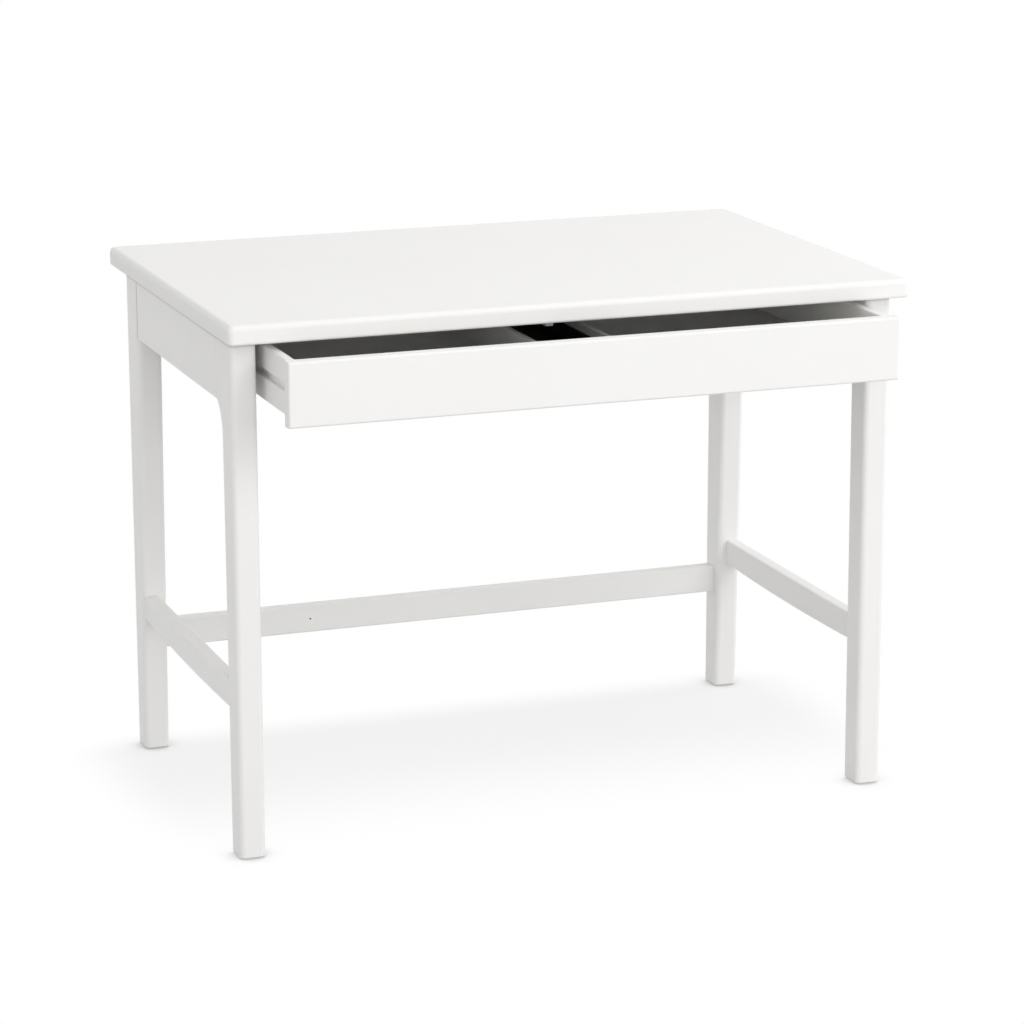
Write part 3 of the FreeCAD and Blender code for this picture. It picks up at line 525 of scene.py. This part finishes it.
def beech(name):
    """Raw beech with short darker flecks along the grain."""
    colour = bpy.context.scene.desk_fittings.wood_colour
    material, tree, shader, place = start_material(name)
    fibre = stretched(tree, place, (60.0, 60.0, 900.0))
    streak = noise(tree, fibre, 1.0, detail=4.0, roughness=0.6)
    fleck = spread(tree, noise(tree, fibre, 3.0), 0.0, 1.0, start=0.6, end=0.75)
    grain = blend(tree, streak, rgba(colour, 0.8), rgba(colour, 1.15))
    arris = use(tree, "Eased Arris", Radius=0.5 * MM)
    feed(tree, shader.inputs["Base Color"], blend(tree, fleck, grain, rgba(colour, 0.55)))
    feed(tree, shader.inputs["Roughness"], spread(tree, streak, 0.55, 0.75))
    relief(tree, shader, streak, 0.06 * MM, 0.4, arris["Normal"])
    return material


def finish_with(material, *names):
    """Give pieces of the desk a finish."""
    for name in names:
        for slot in NODES[name].material_slots:
            slot.material = material


# Small fittings with a cross recess


def loose_parts(name):
    """Corner points of each separate small piece of a node."""
    shape = bmesh.new()
    shape.from_mesh(NODES[name].data)
    bmesh.ops.remove_doubles(shape, verts=shape.verts, dist=0.002 * MM)
    reached = set()
    found = []
    for first in shape.verts:
        if first in reached:
            continue
        reached.add(first)
        waiting = [first]
        part = []
        while waiting:
            corner = waiting.pop()
            part.append(corner.co.copy())
            for edge in corner.link_edges:
                other = edge.other_vert(corner)
                if other not in reached:
                    reached.add(other)
                    waiting.append(other)
        found.append(part)
    shape.free()
    return found


def ring(shape, points, height):
    """Corners of a closed outline at a height."""
    return [shape.verts.new((x, y, height)) for x, y in points]


def wall(shape, lower, upper):
    """Faces between two outlines with as many corners each."""
    for number, corner in enumerate(lower):
        before = number - 1
        shape.faces.new((lower[before], corner, upper[number], upper[before]))


def outline_edges(shape, outline):
    """Edges along a closed outline, made where there is none yet."""
    pairs = [(outline[number - 1], corner) for number, corner in enumerate(outline)]
    return [shape.edges.get(pair) or shape.edges.new(pair) for pair in pairs]


def circle(radius, corners=32):
    """Points of a circle."""
    turns = [2 * math.pi * number / corners for number in range(corners)]
    return [(radius * math.cos(turn), radius * math.sin(turn)) for turn in turns]


def cross(reach, half):
    """Points of a cross with four arms."""
    arm = [(half, half), (half, reach), (-half, reach)]
    points = []
    for turn in range(4):
        spin = Matrix.Rotation(turn * math.pi / 2, 2)
        points += [tuple(spin @ Vector(point)) for point in arm]
    return points


def turned_head(profile, recess_depth):
    """Turned piece that points down from its head at height 0, with a cross recess."""
    look = bpy.context.scene.desk_fittings
    shape = bmesh.new()
    rings = [ring(shape, circle(radius), height) for radius, height in profile]
    for upper, lower in zip(rings, rings[1:]):
        wall(shape, lower, upper)
    shape.faces.new(reversed(rings[-1]))
    rim, face = profile[0]
    reach, half = rim * look.recess_reach, rim * look.recess_width
    mouth = ring(shape, cross(reach, half), face)
    floor_reach, floor_half = RECESS_FLOOR[0] * reach, RECESS_FLOOR[1] * half
    floor = ring(shape, cross(floor_reach, floor_half), face - recess_depth)
    wall(shape, floor, mouth)
    shape.faces.new(floor)
    edges = outline_edges(shape, rings[0]) + outline_edges(shape, mouth)
    bmesh.ops.triangle_fill(shape, use_beauty=True, edges=edges, normal=(0, 0, 1))
    bmesh.ops.recalc_face_normals(shape, faces=shape.faces)
    return shape


def widest(points, centre, axis):
    """Largest distance of points from a line along an axis."""
    ways = [point - centre for point in points]
    return max((way - axis * way.dot(axis)).length for way in ways)


def turned_sizes(part, axis_number):
    """Centre, axis and length of a small turned piece, and the radius of each end by its sign."""
    low = Vector(map(min, *part))
    high = Vector(map(max, *part))
    centre = (low + high) / 2
    axis = Vector((0, 0, 0))
    axis[axis_number] = 1
    length = high[axis_number] - low[axis_number]
    radii = {}
    for sign in (-1, 1):
        end = centre + axis * (sign * length / 2)
        near = [point for point in part if abs((point - end).dot(axis)) < 0.02 * MM]
        radii[sign] = widest(near, centre, axis)
    return centre, axis, length, radii


def longest(part):
    """Number of the axis along which a small piece is longest."""
    size = Vector(map(max, *part)) - Vector(map(min, *part))
    return max(range(3), key=lambda number: size[number])


def facing(place, way):
    """Matrix that puts a turned piece's head at a place, facing along a way."""
    return Matrix.Translation(place) @ way.to_track_quat("Z", "Y").to_matrix().to_4x4()


def stand_in(name, shapes, node, body, material):
    """One piece from many small shapes, which shows in place of a node."""
    mesh = bpy.data.meshes.new(name)
    whole = bmesh.new()
    for shape, matrix in shapes:
        bmesh.ops.transform(shape, matrix=matrix, verts=shape.verts)
        copy = bpy.data.meshes.new(name + "_part")
        shape.to_mesh(copy)
        shape.free()
        whole.from_mesh(copy)
        bpy.data.meshes.remove(copy)
    whole.to_mesh(mesh)
    whole.free()
    mesh.materials.append(material)
    mesh.set_sharp_from_angle(angle=SHARP_ANGLE)
    piece = bpy.data.objects.new(name, mesh)
    bpy.context.scene.collection.objects.link(piece)
    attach(piece, body)
    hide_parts(node)


# Operators


class DESK_OT_paint_top(bpy.types.Operator):
    """Paint the top board"""

    bl_idname = "desk.paint_top"
    bl_label = "Paint Top"

    def execute(self, context):
        finish_with(paint("top_paint", context.scene.desk_paint.top_roughness), "tabletop")
        return {"FINISHED"}


class DESK_OT_paint_frame(bpy.types.Operator):
    """Paint the legs, rails, stretchers and runners, with painted shade lines at the rails' joints
    and painted shade under the top
    """

    bl_idname = "desk.paint_frame"
    bl_label = "Paint Frame"

    def execute(self, context):
        look = context.scene.desk_paint
        roughness = look.frame_roughness
        # Painted shade lines at the rails' front and rear joints, and painted shade under the top
        joints = [("Y", RAIL_LOW.y, RAIL_LOW.z, look.joint_shade_width, FRONT_JOINT_SHADE),
                  ("Y", RAIL_HIGH.y, RAIL_LOW.z, look.joint_shade_width, REAR_JOINT_SHADE),
                  ("Z", RAIL_HIGH.z, RAIL_LOW.z, look.shade_width, PAINTED_TOP_SHADE)]
        finish_with(paint("frame_paint", roughness, joints), "leg_front_left", "leg_front_right",
                    "leg_rear_left", "leg_rear_right", "side_rail_left", "side_rail_right")
        finish_with(paint("bar_paint", roughness), "back_rail", "back_stretcher",
                    "side_stretcher_left", "side_stretcher_right", "drawer_runner_left",
                    "drawer_runner_right")
        return {"FINISHED"}


class DESK_OT_paint_drawer(bpy.types.Operator):
    """Paint the drawer front, sides and back, with a painted shade line where the sides meet the
    front
    """

    bl_idname = "desk.paint_drawer"
    bl_label = "Paint Drawer"

    def execute(self, context):
        look = context.scene.desk_paint
        roughness = look.frame_roughness
        # Painted shade line where each drawer side meets the front
        joint = [("Y", DRAWER_SIDE_LOW.y, DRAWER_SIDE_LOW.z, look.joint_shade_width, DRAWER_JOINT_SHADE)]
        finish_with(paint("drawer_paint", roughness), "drawer_front", "drawer_back")
        finish_with(paint("drawer_side_paint", roughness, joint),
                    "drawer_side_left", "drawer_side_right")
        return {"FINISHED"}


class DESK_OT_line_drawer(bpy.types.Operator):
    """Finish the drawer bottom, the dividers and the pen tray"""

    bl_idname = "desk.line_drawer"
    bl_label = "Line Drawer"

    def execute(self, context):
        look = context.scene.desk_inside
        foil = moulded("board_foil", look.board_colour, roughness=0.55, grain=0.5 * MM, dust=0.06)
        finish_with(foil, "drawer_bottom", "drawer_divider_left", "drawer_divider_right")
        tray = moulded("tray_plastic", look.tray_colour, roughness=0.5, grain=0.8 * MM, dust=0.03)
        finish_with(tray, "pen_tray")
        return {"FINISHED"}


class DESK_OT_fit_dowels(bpy.types.Operator):
    """Finish the dowels of the frame and the drawer"""

    bl_idname = "desk.fit_dowels"
    bl_label = "Fit Dowels"

    def execute(self, context):
        finish_with(beech("dowel_beech"), "rail_dowels", "stretcher_dowels", "drawer_dowels")
        return {"FINISHED"}


class DESK_OT_fit_plastics(bpy.types.Operator):
    """Finish the drawer stop and the foot glides"""

    bl_idname = "desk.fit_plastics"
    bl_label = "Fit Stop and Glides"

    def execute(self, context):
        look = context.scene.desk_fittings
        stop = moulded("stop_plastic", look.stop_colour, roughness=0.45, grain=0.8 * MM, dust=0.0)
        finish_with(stop, "drawer_stop")
        glide = moulded("glide_plastic", look.glide_colour, roughness=0.6, grain=0.8 * MM, dust=0.0)
        finish_with(glide, "foot_glides")
        return {"FINISHED"}


class DESK_OT_fit_screws(bpy.types.Operator):
    """Make countersunk screws with cross recesses in place of the plain ones"""

    bl_idname = "desk.fit_screws"
    bl_label = "Fit Screws"

    def execute(self, context):
        material = zinc("screw_zinc")
        for node in ("bracket_screws", "runner_screws", "drawer_stop_screw"):
            shapes = []
            for part in loose_parts(node):
                centre, axis, length, radii = turned_sizes(part, longest(part))
                side = max(radii, key=radii.get)
                head, shank = radii[side], min(radii.values())
                cone = CONE_SLOPE * (head - shank) + CONE_LAND
                profile = [(head - HEAD_RIM, 0.0), (head, -HEAD_RIM), (shank, -cone),
                           (shank, -length + POINT_LENGTH), (TIP_SHARE * shank, -length)]
                way = axis * side
                shapes.append((turned_head(profile, SCREW_RECESS * head),
                               facing(centre + way * (length / 2), way)))
            stand_in(node.replace("screw", "cross_screw"), shapes, node, "frame", material)
        return {"FINISHED"}


class DESK_OT_fit_cams(bpy.types.Operator):
    """Make cam locks with a rim and a cross recess in place of the plain ones"""

    bl_idname = "desk.fit_cams"
    bl_label = "Fit Cams"

    def execute(self, context):
        material = zinc("cam_zinc")
        shapes = []
        for part in loose_parts("cam_locks"):
            centre, axis, length, radii = turned_sizes(part, 1)
            radius = max(radii.values())
            profile = [(share * radius, -depth) for share, depth in CAM_RIM]
            profile.append((radius, -length))
            shapes.append((turned_head(profile, CAM_RECESS),
                           facing(centre + axis * (length / 2), axis)))
        stand_in("cam_lock_discs", shapes, "cam_locks", "frame", material)
        finish_with(material, "cam_bolts")
        return {"FINISHED"}


class DESK_OT_fit_brackets(bpy.types.Operator):
    """Finish the steel angles that hold the top"""

    bl_idname = "desk.fit_brackets"
    bl_label = "Fit Brackets"

    def execute(self, context):
        finish_with(zinc("bracket_zinc"), "top_brackets")
        return {"FINISHED"}


def seen_directly(tree):
    """1 for what the camera sees, itself or in a reflection or through glass."""
    path = tree.nodes.new("ShaderNodeLightPath").outputs
    mirrored = compute(tree, "MAXIMUM", path["Is Glossy Ray"], path["Is Transmission Ray"])
    return compute(tree, "MAXIMUM", path["Is Camera Ray"], mirrored)


def floor_finish():
    """Matt floor that keeps the shadow under the desk and turns to plain white further out."""
    look = bpy.context.scene.desk_stage
    material = bpy.data.materials.new("pale_floor")
    material.use_nodes = True
    tree = material.node_tree
    tree.nodes.clear()
    place = tree.nodes.new("ShaderNodeTexCoord").outputs["Object"]
    shade_rear = (FEET_HIGH.x, FEET_HIGH.y - look.shade_inset, 0)
    shade_front = (FEET_LOW.x, FEET_HIGH.y - look.shade_depth, 0)
    beyond = steer(tree, "DIVIDE", steer(tree, "SUBTRACT", place, shade_rear),
                   (look.side_reach, look.rear_reach, 1))
    before = steer(tree, "DIVIDE", steer(tree, "SUBTRACT", shade_front, place),
                   (look.side_reach, look.front_reach, 1))
    outside = steer(tree, "MAXIMUM", steer(tree, "MAXIMUM", beyond, before), (0, 0, 0))
    away = measure(tree, "LENGTH", outside)
    open_above = add(tree, "ShaderNodeAmbientOcclusion", {"Distance": look.contact_reach},
                     samples=12).outputs["AO"]
    clear = spread(tree, open_above, look.contact_veil, 1.0, start=0.4, end=0.85)
    veil = compute(tree, "MULTIPLY", spread(tree, away, look.floor_veil, 1.0), clear)
    veil = compute(tree, "MULTIPLY", veil, seen_directly(tree))
    matt = add(tree, "ShaderNodeBsdfDiffuse", {"Color": rgba(look.floor_colour)}).outputs["BSDF"]
    white = add(tree, "ShaderNodeEmission", {"Color": WHITE, "Strength": 1.0}).outputs["Emission"]
    mix = add(tree, "ShaderNodeMixShader", {0: veil, 1: matt, 2: white}).outputs["Shader"]
    add(tree, "ShaderNodeOutputMaterial", {"Surface": mix})
    return material


def lay_floor():
    """Flat square floor under the desk."""
    mesh = bpy.data.meshes.new("floor")
    corners = [(-1, -1), (1, -1), (1, 1), (-1, 1)]
    mesh.from_pydata([(x * FLOOR_REACH, y * FLOOR_REACH, 0) for x, y in corners], [],
                     [(0, 1, 2, 3)])
    mesh.materials.append(floor_finish())
    floor = bpy.data.objects.new("floor", mesh)
    bpy.context.scene.collection.objects.link(floor)


def light_room():
    """Even light of the room, stronger near the horizon, before a background seen as white."""
    look = bpy.context.scene.desk_stage
    world = bpy.data.worlds.new("studio")
    bpy.context.scene.world = world
    world.use_nodes = True
    tree = world.node_tree
    tree.nodes.clear()
    way = tree.nodes.new("ShaderNodeTexCoord").outputs["Generated"]
    strength = spread(tree, split(tree, way)["Z"], look.ambient + look.wall_light, look.ambient,
                      start=WALL_FOOT, end=WALL_HEAD)
    room, white = (add(tree, "ShaderNodeBackground", {"Color": WHITE, "Strength": level})
                   for level in (strength, 1.0))
    mix = add(tree, "ShaderNodeMixShader", {0: seen_directly(tree), 1: room.outputs["Background"],
                                            2: white.outputs["Background"]})
    add(tree, "ShaderNodeOutputWorld", {"Surface": mix.outputs["Shader"]})


def soft_box(name, place, size, power):
    """Lamp of a width and a height that points at the middle of the desk."""
    lamp = bpy.data.lights.new(name, "AREA")
    lamp.shape = "RECTANGLE"
    lamp.size, lamp.size_y = size
    lamp.energy = power
    stand = bpy.data.objects.new(name, lamp)
    stand.location = place
    middle = (CAD_BOX[0] + CAD_BOX[1]) / 2
    stand.rotation_mode = "QUATERNION"
    stand.rotation_quaternion = (middle - Vector(place)).to_track_quat("-Z", "Y")
    bpy.context.scene.collection.objects.link(stand)


def place_camera():
    """Camera that looks at the desk from the front left and a little above."""
    look = bpy.context.scene.desk_stage
    camera = bpy.data.objects.new("camera", bpy.data.cameras.new("camera"))
    camera.data.sensor_width = SENSOR_WIDTH
    camera.data.lens = look.lens
    level = math.cos(look.elevation)
    back = Vector((math.sin(look.azimuth) * level, -math.cos(look.azimuth) * level,
                   math.sin(look.elevation)))
    camera.location = Vector(look.target) + back * look.distance
    camera.rotation_mode = "QUATERNION"
    tilt = Matrix.Rotation(look.roll, 3, "Z").to_quaternion()
    camera.rotation_quaternion = (-back).to_track_quat("-Z", "Y") @ tilt
    bpy.context.scene.collection.objects.link(camera)
    bpy.context.scene.camera = camera


class DESK_OT_set_stage(bpy.types.Operator):
    """Lay the floor, set the lamps and place the camera"""

    bl_idname = "desk.set_stage"
    bl_label = "Set Stage"

    def execute(self, context):
        lay_floor()
        light_room()
        for name, (place, size, power) in LAMPS.items():
            soft_box(name, place, size, getattr(context.scene.desk_stage, power))
        place_camera()
        context.scene.view_settings.view_transform = "Standard"
        return {"FINISHED"}


class DESK_PT_panel(bpy.types.Panel):
    """Settings and steps of the desk"""

    bl_idname = "DESK_PT_panel"
    bl_label = "Writing Desk"
    bl_space_type = "VIEW_3D"
    bl_region_type = "UI"
    bl_category = "Desk"

    def draw(self, context):
        for group in SETTINGS:
            settings = getattr(context.scene, group)
            box = self.layout.box()
            for name in settings.__annotations__:
                box.prop(settings, name)
        for step in STEPS:
            self.layout.operator(step.bl_idname)


SETTINGS = {"desk_paint": PaintSettings, "desk_inside": InsideSettings,
            "desk_fittings": FittingSettings, "desk_stage": StageSettings}
STEPS = (DESK_OT_paint_top, DESK_OT_paint_frame, DESK_OT_paint_drawer, DESK_OT_line_drawer,
         DESK_OT_fit_dowels, DESK_OT_fit_plastics, DESK_OT_fit_screws, DESK_OT_fit_cams,
         DESK_OT_fit_brackets, DESK_OT_set_stage)
CLASSES = (*SETTINGS.values(), *STEPS, DESK_PT_panel)


def register():
    """Make the settings, steps and panel known."""
    for made in CLASSES:
        bpy.utils.register_class(made)
    for name, made in SETTINGS.items():
        setattr(bpy.types.Scene, name, PointerProperty(type=made))


def unregister():
    """Take the settings, steps and panel away again."""
    for name in SETTINGS:
        delattr(bpy.types.Scene, name)
    for made in reversed(CLASSES):
        bpy.utils.unregister_class(made)


def main():
    """Finish the desk piece by piece and set the stage."""
    register()
    bpy.ops.desk.paint_top()
    bpy.ops.desk.paint_frame()
    bpy.ops.desk.paint_drawer()
    bpy.ops.desk.line_drawer()
    bpy.ops.desk.fit_dowels()
    bpy.ops.desk.fit_plastics()
    bpy.ops.desk.fit_screws()
    bpy.ops.desk.fit_cams()
    bpy.ops.desk.fit_brackets()
    bpy.ops.desk.set_stage()


if __name__ == "__main__":
    main()
